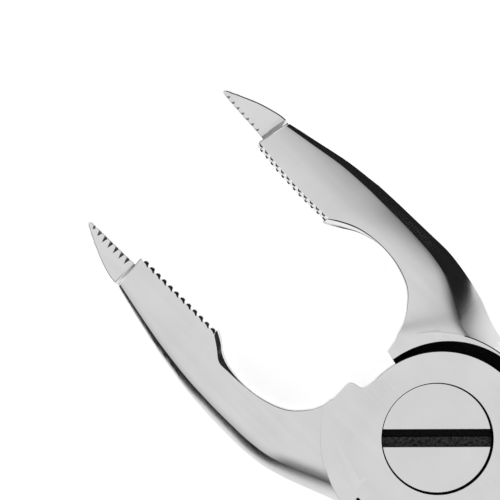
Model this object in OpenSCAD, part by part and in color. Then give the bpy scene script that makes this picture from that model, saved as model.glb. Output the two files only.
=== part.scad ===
// Plier-form nutcracker: two crossed steel levers on a lap joint, toothed jaws with fine points,
// an arched mouth for the nut and a pair of leaf springs that hold the handles open.
// Origin on the pivot axis at the flat underside, +X between the open jaws, +Z to the screw head.
// The levers stand fully open; lever_a has its jaw on +Y and its half of the lap on top.

/* [Head] */
// Thickness of the head and of the handles
head_t = 10; // [9.5:0.5:11]
// Radius of the half-thickness lap disc on each lever
lap_r = 12.8; // [12.4:0.1:12.9]
// Radius of the shoulder behind the jaw, which the other lever's lap disc turns inside
jaw_shoulder_r = 13.2; // [13.1:0.1:13.4]
// Radius of the shoulder at the handle's root, about the pivot
handle_shoulder_r = 14.2; // [14:0.1:14.5]
// Radius of the flat ground land round the joint
land_r = 16.4; // [16:0.1:17]
// Diameter of the pivot screw's head
screw_head_d = 15.3; // [14.5:0.1:15.6]
// Diameter of the pivot screw's bearing shank
shank_d = 9; // [8:0.5:10]
// Diameter of the pivot screw's threaded end
thread_d = 8; // [7:0.5:8]
// Thickness of the thrust washer between the laps
washer_t = 0.35; // [0.3:0.05:0.5]

/* [Jaws] */
// Turn of each lever from closed to fully open, in degrees
open_half = 13.2; // [12.5:0.1:13.5]
// Jaw thickness at the step behind the point
jaw_front_t = 6.5; // [6:0.5:8]
// Thickness of the point at its root
point_root_t = 4.2; // [3.5:0.1:5]
// Thickness of the point at its end
point_end_t = 2; // [1.5:0.1:2.5]
// Depth of the main teeth
tooth_depth = 0.6; // [0.4:0.1:0.8]
// Number of main teeth
main_teeth = 12; // [8:1:14]
// Number of fine teeth along the point
fine_teeth = 8; // [6:1:9]

/* [Handles] */
// Width of the handle bar
handle_w = 10; // [9:0.5:10.5]
// Outward bow of the handle's long middle arc
bow_r = 170; // [165:1:180]

/* [Springs] */
// Thickness of each leaf spring
leaf_t = 0.9; // [0.8:0.1:1]
// Width of each leaf spring
leaf_w = 6.5; // [6:0.5:7]
// Width of the tongue on leaf spring A, which passes through the fork of leaf spring B
tongue_w = 2.2; // [2:0.1:2.4]
// Diameter of each spring screw's head
spring_screw_head_d = 4.6; // [4.2:0.2:5]

/* [Hidden] */
$fn = 96;
steel = [0.82, 0.83, 0.85];
spring_steel = [0.66, 0.68, 0.71];
bronze = [0.70, 0.53, 0.32];

mid_z = head_t / 2;
run = 0.04;                    // radial running clearance on the pivot
face_gap = 0.05;               // working clearance between sliding flat faces
fit_gap = 0.02;                // clearance of pieces that are screwed together
cut = 1;                       // overshoot of every cutting solid
lap_low_z = mid_z - washer_t / 2 - face_gap / 2;
lap_high_z = lap_low_z + washer_t + face_gap;
screw_head_t = 2.4;
head_ring_gap = 0.17;          // clear ring round the screw head
screw_slot_w = 2.45;
screw_slot_depth = 1.1;
screw_slot_turn = 45;
washer_r = 11;

// Full-thickness roots round the joint, as angles from +X. The levers meet at the seam when they
// are fully open, and the clear angle between the handle roots lets them close.
seam = 82;
seam_gap = 0.3;
jaw_land_start = 45;           // the land starts inside the jaw, clear of the mouth
a_handle_root = 191.7;
b_handle_root = 195;           // as seen with lever_b turned over

// Centres of the lap disc and of the jaw's shoulder. They sit behind the pivot, so that the mouth
// side of the joint is trimmed and the crescent gap widens away from the mouth.
lap_centre = [-0.95, -0.1];
shoulder_centre = [-0.95, 1.5];

// Jaw outline with the jaw on +Y. The inner edge runs from the lap corner up the arched mouth to
// the teeth. Lever_a's corner is a rounded nose, lever_b's is square.
a_lap_corner = [[12.4, 2.3], [13.2, 2.5], [13.8, 2.8], [14.15, 3.1], [14.35, 4]];
b_lap_corner = [[11.4, 3.2], [13.5, 3.8]];
arch_low = [[14.4, 6], [14.6, 12.4], [20.5, 13.9], [25, 13.9]];
arch_high = [[25, 13.9], [28.2, 13.9], [29.8, 12.6], [32.2, 10.9]];
teeth_back = [32.4, 10.75];
teeth_front = [47.1, 11.4];
step_outer = [46.9, 16.4];
back_curve = [[46.5, 16.5], [37, 20], [15, 22], [5, 16.3]];
point_back = [46.4, 12.8];
point_tip = [55.4, 12.8];
point_curve = [[55.8, 13.3], [54.3, 14.5], [50.5, 16.1], [46.4, 16.55]];
point_overlap_x = 46.4;        // the point's solid starts inside the jaw
taper_start_x = 16.5;
curve_steps = 12;
back_steps = 20;               // steps of the jaw's long back curve

// Handle centre line of lever_a with the levers closed: start [x, y, heading], then
// [radius, turn] arcs, where a positive turn bends to the left.
handle_start = [-6, -8.5, 180];
handle_arcs = [[80, 14], [bow_r, -28], [50, 18]];
ring_pitch = 6;                // spacing of the handle's rings
cap_angles = [20, 40, 60, 80]; // rings that round the handle's end
// One quarter of the handle's rounded section, as fractions of its width and thickness
section_quarter = [[0.5, 0.17], [0.47, 0.34], [0.36, 0.46], [0.2, 0.5]];
pad_turn = 22;                 // place of the spring pad along the long middle arc
pad_half_turn = 2.1;
pad_gap = 0.06;                // keeps the pad clear of the handle's facets
leaf_pitch = 3;
leaf_curve = [[40, 24], [400, 5]];
leaf_end = [400, 1.3];          // the tongue or the fork, across the middle
fork_gap_w = tongue_w + 0.6;
spring_screw_d = 2.5;
spring_screw_grip = 5;
spring_screw_head_t = 1.2;
spring_slot_w = 0.6;
spring_slot_depth = 0.5;

// ---- Curves and arc chains ----

// Cubic curve through four control points, as a list of points
function curve(p, steps = curve_steps) =
  [for (i = [0:steps]) let (t = i / steps, s = 1 - t)
    s * s * s * p[0] + 3 * s * s * t * p[1] + 3 * s * t * t * p[2] + t * t * t * p[3]];

// Saw teeth along the line a to b: crests on the line, notches cut towards +Y
function teeth(a, b, count, depth) =
  [for (i = [0:2 * count]) a + (b - a) * i / (2 * count) + [0, i % 2 == 0 ? 0 : depth]];

function heading_vec(angle) = [cos(angle), sin(angle)];

// Centre of the arc that starts at a pose [x, y, heading] and bends by [radius, turn]
function arc_centre(pose, arc) =
  [pose.x, pose.y] + arc[0] * heading_vec(pose.z + (arc[1] > 0 ? 90 : -90));

// Pose at the end of one arc
function arc_end(pose, arc) =
  let (c = arc_centre(pose, arc), out = pose.z + arc[1] + (arc[1] > 0 ? -90 : 90))
  let (p = c + arc[0] * heading_vec(out)) [p.x, p.y, pose.z + arc[1]];

// Pose after the first count arcs of a chain
function chain_pose(pose, arcs, count) =
  count == 0 ? pose : arc_end(chain_pose(pose, arcs, count - 1), arcs[count - 1]);

// Poses all along a chain, no more than pitch apart
function chain_path(pose, arcs, pitch) =
  concat([pose], [for (i = [0:len(arcs) - 1])
    let (from = chain_pose(pose, arcs, i), arc = arcs[i],
         steps = ceil(arc[0] * abs(arc[1]) * PI / 180 / pitch))
      for (k = [1:steps]) arc_end(from, [arc[0], arc[1] * k / steps])]);

// Point beside a pose, positive to the left of its heading
function beside(pose, offset) = [pose.x, pose.y] + offset * heading_vec(pose.z + 90);

// Strip of constant width along a path of poses
module strip_plan(path, width) {
  polygon(concat([for (p = path) beside(p, width / 2)],
                 [for (i = [len(path) - 1:-1:0]) beside(path[i], -width / 2)]));
}

// ---- Levers ----

// Ring sector between two radii and two angles
module ring_sector(r_in, r_out, from, to) {
  reach = 2 * r_out;
  intersection() {
    difference() {
      circle(r = r_out);
      circle(r = r_in);
    }
    polygon([[0, 0], reach * heading_vec(from), reach * heading_vec((from + to) / 2),
             reach * heading_vec(to)]);
  }
}

module jaw_plan(lap_corner) {
  polygon(concat([[0, 0]], lap_corner, curve(arch_low), curve(arch_high),
                 teeth(teeth_back, teeth_front, main_teeth, tooth_depth),
                 [step_outer], curve(back_curve, back_steps), [land_r * heading_vec(seam - seam_gap)]));
}

module point_plan() {
  polygon(concat(teeth(point_back, point_tip, fine_teeth, tooth_depth), curve(point_curve)));
}

// Slab along X whose thickness changes linearly about mid-height, for tapering a plan
module taper_slab(x0, t0, x1, t1) {
  reach = 2 * land_r;
  translate([0, reach, mid_z])
    rotate([90, 0, 0])
      linear_extrude(reach)
        polygon([[-cut, -head_t / 2], [x0, -t0 / 2], [x1, -t1 / 2],
                 [x1, t1 / 2], [x0, t0 / 2], [-cut, head_t / 2]]);
}

module jaw(lap_corner) {
  intersection() {
    linear_extrude(head_t) jaw_plan(lap_corner);
    taper_slab(taper_start_x, head_t, teeth_front.x, jaw_front_t);
  }
  intersection() {
    linear_extrude(head_t) point_plan();
    taper_slab(point_overlap_x, point_root_t, point_curve[0].x, point_end_t);
  }
}

function reversed(list) = [for (i = [len(list) - 1:-1:0]) list[i]];

// The handle's whole rounded section, from its one quarter
handle_section = concat(
  section_quarter,
  [for (c = reversed(section_quarter)) [-c.x, c.y]],
  [for (c = section_quarter) [-c.x, -c.y]],
  [for (c = reversed(section_quarter)) [c.x, -c.y]]);

// Ring of the handle's section at a pose, scaled down for the rounded end
function handle_ring(pose, scale) =
  [for (c = handle_section)
    let (p = beside(pose, c.x * handle_w * scale))
      [p.x, p.y, mid_z + c.y * head_t * (1 + scale) / 2]];

// Closed solid through a list of rings
module loft(rings) {
  n = len(rings[0]);
  last = len(rings) - 1;
  polyhedron(
    points = [for (r = rings, p = r) p],
    faces = concat(
      [[for (k = [0:n - 1]) k]],
      [for (i = [0:last - 1], k = [0:n - 1], half = [0, 1])
        let (a = i * n + k, b = i * n + (k + 1) % n)
          half == 0 ? [a, a + n, b] : [b, a + n, b + n]],
      [[for (k = [n - 1:-1:0]) last * n + k]]));
}

module handle() {
  path = chain_path(handle_start, handle_arcs, ring_pitch);
  tail = path[len(path) - 1];
  end_cap = [for (a = cap_angles)
    let (p = [tail.x, tail.y] + handle_w / 2 * sin(a) * heading_vec(tail.z))
      handle_ring([p.x, p.y, tail.z], cos(a))];
  loft(concat([for (p = path) handle_ring(p, 1)], end_cap));
}

// Lever with its jaw on +Y and its lap disc in the top half. The jaw root's land ends at root_end,
// and the handle root's land runs from handle_root to the opposite side of the joint.
module lever_blank(lap_corner, root_end, handle_root) {
  difference() {
    union() {
      translate([lap_centre.x, lap_centre.y, lap_high_z])
        cylinder(r = lap_r, h = head_t - lap_high_z);
      linear_extrude(head_t) {
        ring_sector(lap_r - 2 * cut, land_r, jaw_land_start, root_end);
        ring_sector(lap_r - 2 * cut, land_r, handle_root, root_end + 180);
      }
      jaw(lap_corner);
      rotate([0, 0, open_half]) handle();
    }
    translate([0, 0, -cut])
      linear_extrude(lap_high_z + cut) {
        translate(shoulder_centre) circle(r = jaw_shoulder_r);
        intersection() {
          circle(r = handle_shoulder_r);
          translate([-land_r, -land_r]) square([2 * land_r, land_r]);
        }
      }
  }
}

// Turns a lever_a shape over into lever_b's place
module turn_over() {
  translate([0, 0, head_t]) rotate([180, 0, 0]) children();
}

module lever_a() {
  color(steel)
    difference() {
      lever_blank(a_lap_corner, seam - seam_gap, a_handle_root);
      translate([0, 0, -cut]) cylinder(d = shank_d + 2 * run, h = head_t + 2 * cut);
      translate([0, 0, head_t - screw_head_t - face_gap])
        cylinder(d = screw_head_d + 2 * head_ring_gap, h = screw_head_t + face_gap + cut);
      rotate([0, 0, open_half]) spring_screw_hole();
    }
}

module lever_b() {
  color(steel)
    difference() {
      turn_over()
        lever_blank(b_lap_corner, 180 - seam - seam_gap, b_handle_root);
      translate([0, 0, -cut]) cylinder(d = thread_d + 2 * fit_gap, h = head_t + 2 * cut);
      turn_over() rotate([0, 0, open_half]) spring_screw_hole();
    }
}

// ---- Pivot ----

module pivot_screw() {
  color(steel)
    difference() {
      union() {
        cylinder(d = thread_d, h = mid_z);
        translate([0, 0, lap_low_z]) cylinder(d = shank_d, h = head_t - lap_low_z - cut);
        translate([0, 0, head_t - screw_head_t]) cylinder(d = screw_head_d, h = screw_head_t);
      }
      rotate([0, 0, screw_slot_turn])
        translate([-screw_head_d, -screw_slot_w / 2, head_t - screw_slot_depth])
          cube([2 * screw_head_d, screw_slot_w, screw_slot_depth + cut]);
    }
}

module thrust_washer() {
  color(bronze)
    translate([0, 0, lap_low_z])
      difference() {
        cylinder(r = washer_r, h = washer_t);
        translate([0, 0, -cut]) cylinder(d = shank_d + 2 * fit_gap, h = washer_t + 2 * cut);
      }
}

// ---- Springs, in lever_a's closed position ----

// Middle of the pad on the handle's inner face, heading back towards the joint
function pad_pose(offset, turn) =
  let (p = chain_pose(handle_start, [handle_arcs[0], [bow_r, -turn]], 2),
       q = [p.x, p.y] + offset * heading_vec(p.z - 90))
  [q.x, q.y, p.z + 180];

module leaf_strip(path, width) {
  translate([0, 0, mid_z - width / 2])
    linear_extrude(width)
      strip_plan(path, leaf_t);
}

module leaf_spring(forked) {
  offset = handle_w / 2 + leaf_t / 2 + pad_gap;
  start = pad_pose(offset, pad_turn + pad_half_turn);
  leaf_arcs = concat([[bow_r - offset, 2 * pad_half_turn]], leaf_curve);
  end_start = chain_pose(start, leaf_arcs, len(leaf_arcs));
  leaf = chain_path(start, leaf_arcs, leaf_pitch);
  whole = chain_path(start, concat(leaf_arcs, [leaf_end]), leaf_pitch);
  difference() {
    if (forked) {
      leaf_strip(whole, leaf_w);
    } else {
      leaf_strip(leaf, leaf_w);
      leaf_strip(whole, tongue_w);
    }
    if (forked)
      translate([end_start.x, end_start.y, mid_z])
        rotate([0, 0, end_start.z])
          translate([0, -leaf_w, -fork_gap_w / 2])
            cube([leaf_w * 2, leaf_w * 2, fork_gap_w]);
    spring_screw_axis()
      translate([0, 0, -cut])
        cylinder(d = spring_screw_d + 2 * fit_gap, h = leaf_t + pad_gap + 2 * cut);
  }
}

// Places a child on the handle's inner face with +Z pointing away from the handle
module spring_screw_axis() {
  p = pad_pose(handle_w / 2, pad_turn);
  translate([p.x, p.y, mid_z])
    rotate([0, 0, p.z + 90])
      rotate([0, 90, 0])
        children();
}

module spring_screw_hole() {
  spring_screw_axis()
    translate([0, 0, -spring_screw_grip - fit_gap])
      cylinder(d = spring_screw_d + 2 * fit_gap, h = spring_screw_grip + cut);
}

module spring_screw() {
  seat = leaf_t + 2 * pad_gap;
  top = seat + spring_screw_head_t;
  spring_screw_axis()
    difference() {
      union() {
        translate([0, 0, -spring_screw_grip])
          cylinder(d = spring_screw_d, h = spring_screw_grip + seat);
        translate([0, 0, seat]) cylinder(d = spring_screw_head_d, h = spring_screw_head_t);
      }
      translate([-spring_screw_head_d, -spring_slot_w / 2, top - spring_slot_depth])
        cube([2 * spring_screw_head_d, spring_slot_w, spring_slot_depth + cut]);
    }
}

module leaf_spring_a() {
  color(spring_steel) rotate([0, 0, open_half]) leaf_spring(forked = false);
}

module leaf_spring_b() {
  color(spring_steel) turn_over() rotate([0, 0, open_half]) leaf_spring(forked = true);
}

module spring_screw_a() {
  color(steel) rotate([0, 0, open_half]) spring_screw();
}

module spring_screw_b() {
  color(steel) turn_over() rotate([0, 0, open_half]) spring_screw();
}

lever_a();
lever_b();
pivot_screw();
thrust_washer();
leaf_spring_a();
leaf_spring_b();
spring_screw_a();
spring_screw_b();
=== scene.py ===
import math

import bpy
from mathutils import Matrix, Vector


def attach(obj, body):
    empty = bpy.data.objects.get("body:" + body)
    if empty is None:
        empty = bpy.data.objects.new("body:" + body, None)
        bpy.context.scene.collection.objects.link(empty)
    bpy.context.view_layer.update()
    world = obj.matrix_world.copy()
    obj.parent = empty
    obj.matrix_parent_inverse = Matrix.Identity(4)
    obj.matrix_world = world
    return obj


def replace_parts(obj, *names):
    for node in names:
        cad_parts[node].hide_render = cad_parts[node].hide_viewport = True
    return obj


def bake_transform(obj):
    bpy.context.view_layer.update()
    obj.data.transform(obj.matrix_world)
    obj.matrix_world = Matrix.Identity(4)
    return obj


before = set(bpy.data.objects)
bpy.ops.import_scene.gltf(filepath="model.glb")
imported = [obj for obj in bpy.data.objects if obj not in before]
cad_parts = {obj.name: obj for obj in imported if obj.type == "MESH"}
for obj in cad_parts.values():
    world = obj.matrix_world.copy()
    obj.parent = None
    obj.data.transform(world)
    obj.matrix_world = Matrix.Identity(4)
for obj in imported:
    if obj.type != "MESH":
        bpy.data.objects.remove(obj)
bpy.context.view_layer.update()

MM = 0.001

# ---- Sizes that repeat part.scad, in millimetres and degrees ----

HEAD_T = 10.0
MID_Z = HEAD_T / 2
LAP_R = 12.8
JAW_SHOULDER_R = 13.2
HANDLE_SHOULDER_R = 14.2
SCREW_HEAD_D = 15.3
SCREW_HEAD_T = 2.4
SHANK_D = 9.0
THREAD_D = 8.0
WASHER_T = 0.35
FACE_GAP = 0.05
LAP_LOW_Z = MID_Z - WASHER_T / 2 - FACE_GAP / 2
LAP_HIGH_Z = LAP_LOW_Z + WASHER_T + FACE_GAP
RUN = 0.04
FIT = 0.02
SEAM = 82.0
SEAM_GAP = 0.3
A_HANDLE_ROOT = 191.7
B_HANDLE_ROOT = 195.0
LAP_CENTRE = (-0.95, -0.1)
SHOULDER_CENTRE = (-0.95, 1.5)
TAPER_START_X = 16.5
JAW_FRONT_T = 6.5
JAW_FRONT_X = 47.1
POINT_ROOT_T = 4.2
POINT_END_T = 2.0
OPEN_HALF = 13.2
HANDLE_W = 10.0
HANDLE_START = (-6.0, -8.5, 180.0)
HANDLE_ARCS = [(80.0, 14.0), (170.0, -28.0), (50.0, 18.0)]
BOW_R = 170.0
PAD_TURN = 22.0
PAD_HALF_TURN = 2.1
PAD_GAP = 0.06
LEAF_T = 0.9
LEAF_W = 6.5
TONGUE_W = 2.2
FORK_GAP_W = TONGUE_W + 0.6
TONGUE_CORNER_R = 0.8
LEAF_CURVE = [(40.0, 24.0), (400.0, 5.0)]
LEAF_END = (400.0, 1.3)
SPRING_SCREW_D = 2.5
SPRING_SCREW_GRIP = 5.0
SPRING_HEAD_D = 4.6
SPRING_HEAD_T = 1.2
SPRING_SLOT_W = 0.6
SPRING_SLOT_DEPTH = 0.5
MAIN_TEETH = 12
SLOT_W = 2.45
SLOT_DEPTH = 1.1
SLOT_TURN = 45.0
SLOT_GROOVE = 0.5              # a deeper strip along one side of the worn slot
LEAF_EDGE = 0.22               # rounding along the leaf springs' edges
LEAF_NOSE = 0.3                # length over which their ends thin out
LEAF_STEPS = 56                # sections along a leaf spring

# ---- Sizes of the visible detail ----

EDGE = 0.12                    # bevel on machined edges
FINE_EDGE = 0.06               # bevel on the edges of small pieces
CREASE = 0.05                  # drop from the ground land to the jaw's polished face
RING_GAP = 0.22                # ring round the screw head
RING_SHIFT = -0.17             # the counterbore sits a little behind the screw
GRIP_PITCH = 1.7
GRIP_DEPTH = 0.28
GRIP_HALF_W = 0.42
GRIP_START = 0.22              # share of the handle's long arc before the first groove
ROOT_STEPS = 16                # sections before the grooves
END_STEPS = 8                  # sections behind them
CAP_TURNS = (15, 30, 45, 60, 75, 86)    # sections round the handle's end, in degrees
SECTION_POWER = 2.6            # squareness of the handle's section
SECTION_STEPS = 52
OVER = 1.0                     # overshoot of cutting solids
TOP_STEPS = 16                 # faces across a jaw's top
BACK_STEPS = 9                 # faces down a jaw's back
ROW_STEPS = 5                  # sections between two rows behind the teeth
POINT_TOP_STEPS = 4            # faces across a point's top
CROWN_POWER = 2.4              # the crown falls away towards the back edge
TOP_SPACING = 1.6              # faces across the top are closer together near the back
ROLL_POWER = 3                 # sharpness of the roll-over at the back edge
SIDE_SHARE = 0.93              # at most this share of the half-thickness is sloped
SIDE_OUT = 0.01                # the wall at mid-height stands this far out
SCREW_STEPS = 160              # faces round a screw
NEAR = 0.03                    # tolerance when faces are picked by place
POINT_START_X = 46.2
POINT_END_X = 55.88

# Rows along each jaw, from the step to the joint, with the jaw on +Y:
# mouth edge x, y; mouth side as width, slope, width, slope, width of its last dark strip;
# back edge x, y; back side as reach, share held at its first slope, first and last slope;
# crown, roll-over width and drop at the back edge, drop of the whole top face.
JAW_A = [
    (47.05, 11.40, 0.08, 37, 0.04, 60, 0.02, 46.60, 16.00, 0.40, 0.0, 36, 46, 0.02, 1.2, 0.05, 0.00),
    (42.20, 11.46, 0.08, 37, 0.04, 60, 0.02, 42.00, 16.96, 0.60, 0.0, 36, 46, 0.03, 1.3, 0.06, 0.00),
    (37.30, 11.44, 0.08, 37, 0.04, 60, 0.02, 36.90, 17.92, 0.82, 0.0, 36, 46, 0.03, 1.4, 0.07, 0.00),
    (32.40, 11.50, 0.55, 33, 0.20, 60, 0.02, 31.80, 18.60, 1.05, 0.0, 36, 46, 0.03, 1.5, 0.08, 0.00),
    (32.22, 11.75, 0.70, 28, 0.24, 60, 0.02, 31.50, 18.62, 1.07, 0.0, 36, 46, 0.03, 1.5, 0.08, 0.00),
    (30.75, 12.75, 0.95, 27, 0.30, 60, 0.04, 29.60, 18.78, 1.20, 0.0, 36, 46, 0.03, 1.6, 0.08, 0.00),
    (29.10, 13.95, 1.10, 30, 0.30, 60, 0.04, 27.40, 18.88, 1.35, 0.0, 36, 46, 0.03, 1.7, 0.08, 0.00),
    (27.20, 14.00, 0.45, 35, 0.20, 60, 0.02, 25.20, 18.95, 1.45, 0.0, 36, 46, 0.03, 1.8, 0.09, 0.00),
    (24.20, 13.85, 0.09, 37, 0.04, 60, 0.02, 22.00, 18.95, 1.55, 0.0, 36, 46, 0.04, 1.9, 0.10, 0.02),
    (20.80, 13.35, 0.09, 37, 0.04, 60, 0.02, 18.40, 18.84, 1.60, 0.0, 36, 46, 0.05, 2.0, 0.10, 0.04),
    (17.70, 12.10, 0.09, 37, 0.04, 60, 0.02, 15.00, 18.36, 1.65, 0.0, 36, 50, 0.05, 2.0, 0.13, 0.06),
    (15.60, 10.10, 0.08, 37, 0.04, 60, 0.02, 11.70, 17.35, 1.75, 0.0, 37, 54, 0.04, 2.3, 0.46, 0.06),
    (14.55, 8.20, 0.06, 37, 0.04, 60, 0.02, 8.60, 16.05, 1.95, 0.0, 38, 54, 0.04, 2.4, 0.48, 0.04),
    (14.10, 6.20, 0.04, 37, 0.04, 60, 0.02, 6.00, 15.05, 2.00, 0.0, 38, 54, 0.04, 2.4, 0.48, 0.02),
    (12.80, 4.00, 0.04, 37, 0.04, 60, 0.02, 3.40, 14.60, 1.50, 0.0, 37, 54, 0.04, 3.0, 0.60, 0.02),
]
JAW_B = [
    (46.75, 11.85, 0.08, 37, 0.10, 60, 0.04, 45.75, 16.20, 0.54, 1.0, 35, 36, 0.16, 0.6, 0.01, 0.00),
    (42.00, 11.30, 0.08, 37, 0.10, 60, 0.04, 41.20, 16.94, 0.78, 1.0, 35, 36, 0.27, 0.6, 0.01, 0.00),
    (37.20, 11.05, 0.08, 37, 0.10, 60, 0.04, 36.10, 17.74, 1.04, 1.0, 35, 36, 0.42, 0.6, 0.01, 0.00),
    (32.40, 11.10, 0.16, 33, 0.50, 61, 0.22, 31.00, 18.03, 1.40, 1.0, 35, 36, 0.47, 0.6, 0.01, 0.00),
    (32.15, 11.30, 0.18, 31, 0.60, 61, 0.32, 30.70, 18.03, 1.42, 1.0, 35, 36, 0.47, 0.6, 0.01, 0.00),
    (31.10, 12.00, 0.28, 29, 0.78, 61, 0.42, 29.00, 18.03, 1.56, 1.0, 35, 36, 0.47, 0.6, 0.01, 0.00),
    (29.40, 12.85, 0.28, 31, 0.80, 61, 0.32, 27.00, 18.03, 1.70, 1.0, 35, 36, 0.47, 0.6, 0.01, 0.00),
    (27.40, 13.45, 0.20, 35, 0.42, 61, 0.10, 24.80, 18.02, 1.84, 1.0, 35, 36, 0.45, 0.7, 0.01, 0.00),
    (24.40, 13.75, 0.11, 38, 0.04, 60, 0.02, 21.80, 17.92, 2.08, 1.0, 35, 36, 0.40, 0.8, 0.02, 0.04),
    (21.00, 13.40, 0.10, 38, 0.04, 60, 0.02, 18.60, 17.70, 2.34, 1.0, 35, 36, 0.35, 1.0, 0.04, 0.10),
    (17.80, 12.15, 0.08, 38, 0.04, 60, 0.02, 15.60, 17.10, 2.55, 0.9, 35, 38, 0.32, 1.4, 0.09, 0.18),
    (15.75, 10.10, 0.06, 38, 0.04, 60, 0.02, 12.90, 15.88, 3.30, 0.55, 35, 46, 0.28, 1.8, 0.18, 0.26),
    (14.70, 8.40, 0.05, 38, 0.04, 60, 0.02, 10.90, 14.80, 3.90, 0.10, 36, 48, 0.20, 1.6, 0.20, 0.20),
    (14.05, 6.60, 0.04, 38, 0.04, 60, 0.02, 8.60, 13.70, 4.20, 0.0, 38, 50, 0.12, 1.4, 0.16, -0.04),
    (13.00, 4.40, 0.04, 38, 0.04, 60, 0.02, 5.40, 13.20, 3.90, 0.0, 38, 50, 0.06, 1.2, 0.12, -0.045),
    (11.60, 3.60, 0.04, 38, 0.04, 60, 0.02, 1.40, 13.20, 3.10, 0.0, 38, 52, 0.06, 1.2, 0.10, -0.045),
]
TOOTH_ROWS = 3                 # the main teeth end at this row
TEETH_START = 0.04             # and start this far along the first span
# Stages of one main tooth, from its tip side: place along the pitch, set-back of the top edge,
# then the mouth side's widths and slopes
TEETH_A = [
    (0.10, 0.14, 0.02, 60, 0.06, 60, 0.02),
    (0.22, 0.14, 0.02, 60, 0.10, 60, 0.02),
    (0.32, 0.02, 0.22, 36, 0.06, 55, 0.02),
    (0.60, 0.02, 0.42, 36, 0.06, 55, 0.02),
    (0.86, 0.14, 0.50, 36, 0.04, 55, 0.02),
    (0.96, 0.22, 0.30, 36, 0.04, 55, 0.02),
]
TEETH_B = [
    (0.02, 0.04, 0.12, 35, 0.30, 61, 0.02),
    (0.16, 0.00, 0.24, 35, 0.22, 61, 0.02),
    (0.48, 0.04, 0.20, 35, 0.26, 61, 0.02),
    (0.56, 0.12, 0.02, 60, 0.46, 61, 0.18),
    (0.88, 0.12, 0.02, 60, 0.40, 61, 0.28),
]
MOUTH_COLUMNS = 7
SHELF_SLOPE = 33
POINT_NOTCH_A = 1.05
POINT_NOTCH_B = 0.50

# Rows along each point, from inside the jaw to the rounded end:
# x, mouth edge y, back edge y, extra half-thickness of the fillet at the step, slant of the row
POINT_A = [
    (46.20, 12.45, 16.00, 1.12, 0.00),
    (46.50, 12.45, 16.10, 1.10, 0.00),
    (46.75, 12.45, 16.22, 0.92, 0.00),
    (47.00, 12.45, 16.32, 0.58, 0.00),
    (47.15, 12.47, 16.36, 0.36, 0.00),
    (47.30, 12.50, 16.37, 0.14, 0.00),
    (47.42, 12.52, 16.36, 0.03, 0.00),
    (47.75, 12.55, 16.30, 0.00, 0.00),
    (49.10, 12.58, 16.04, 0.00, 0.00),
    (51.15, 12.60, 15.36, 0.00, 0.00),
    (53.25, 12.62, 14.46, 0.00, 0.00),
    (54.60, 12.64, 13.80, 0.00, 0.00),
    (55.30, 12.66, 13.42, 0.00, 0.00),
]
POINT_A_END = [(55.62, 12.68, 13.24), (55.80, 12.74, 13.12), (55.88, 12.84, 13.02)]
POINT_B = [
    (46.20, 12.55, 16.50, 1.12, 0.20),
    (46.50, 12.55, 16.58, 1.10, 0.20),
    (46.75, 12.55, 16.66, 0.92, 0.20),
    (46.95, 12.57, 16.74, 0.58, 0.20),
    (47.07, 12.60, 16.78, 0.36, 0.20),
    (47.19, 12.63, 16.80, 0.14, 0.20),
    (47.30, 12.66, 16.80, 0.03, 0.19),
    (47.70, 12.72, 16.76, 0.00, 0.14),
    (48.80, 12.80, 16.42, 0.00, 0.04),
    (50.60, 12.90, 15.86, 0.00, 0.00),
    (52.20, 13.00, 15.22, 0.00, 0.00),
    (53.80, 13.12, 14.54, 0.00, 0.00),
    (54.80, 13.22, 14.08, 0.00, 0.00),
]
POINT_B_END = [(55.15, 13.26, 13.87), (55.38, 13.34, 13.68), (55.46, 13.42, 13.56)]
FILLET_FADE = 0.3              # share of the fillet that is gone at the point's back edge
POINT_A_RIM = 0.08             # bevel along the back of the point
POINT_B_RIM = 0.18
FINE_NOTCHES = 7               # between the eight fine teeth
TOOTH_START_ROW = 7            # the fine teeth start at this row
# Place along the pitch and depth of one notch between fine teeth
FINE_TOOTH = [(0.10, 0.0), (0.30, 0.10), (0.50, 1.0), (0.66, 0.6), (0.86, 0.0), (0.98, 0.0)]

# Outline of the full-thickness root under each land, from the lap corner up the mouth
A_CORNER = [(11.0, -0.6), (11.80, -0.05), (11.95, 0.9), (12.08, 1.75), (12.20, 2.20),
            (12.42, 2.42), (12.8, 2.55), (13.3, 2.64), (13.7, 2.74), (14.0, 2.95),
            (14.2, 3.3), (14.24, 3.9), (14.2, 4.8)]
A_MOUTH = [(14.18, 6.0), (14.2, 7.0)]
B_CORNER = [(11.4, 3.34), (13.43, 3.79), (13.56, 4.5)]
B_MOUTH = [(13.72, 5.4)]
A_LAND_R = 16.3
B_LAND_R = 14.9
ROOT_LAND_R = 16.4
LAND_IN_R = 10.5
POINT_TEETH_X = 47.6
JAW_BACK_X = 3.0
SATIN_A = (11.0, 17.0)         # the polish of each jaw's back fades to satin between these
SATIN_B = (9.0, 13.0)
LAND_RIM = (0.35, 0.05)        # shallow rim of the land, across and down
PLATE_RIM = (0.12, 0.03)
LAND_EDGE = (0.16, 0.12)       # bevel of the land above the rounded back of the root
LAND_EDGE_START = 60.0
SEAM_LIP_R = 13.85             # the upper lap reaches this far beside the seam
SEAM_LIP_END = 104.0


# ---- Camera and floor ----

VIEW_AIM = (37.1, -0.27)       # middle of the view, on top of the head
VIEW_W = 70.0                  # width of the view there
VIEW_RIGHT = (-0.7096, -0.7046)    # direction of the view's right side
LENS = 600.0
SENSOR_W = 36.0
FLOOR_HALF = 20.0              # in metres
FLOOR_DROP = 0.00005           # keeps the floor just under the tool, in metres


# ---- Curves ----

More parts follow.
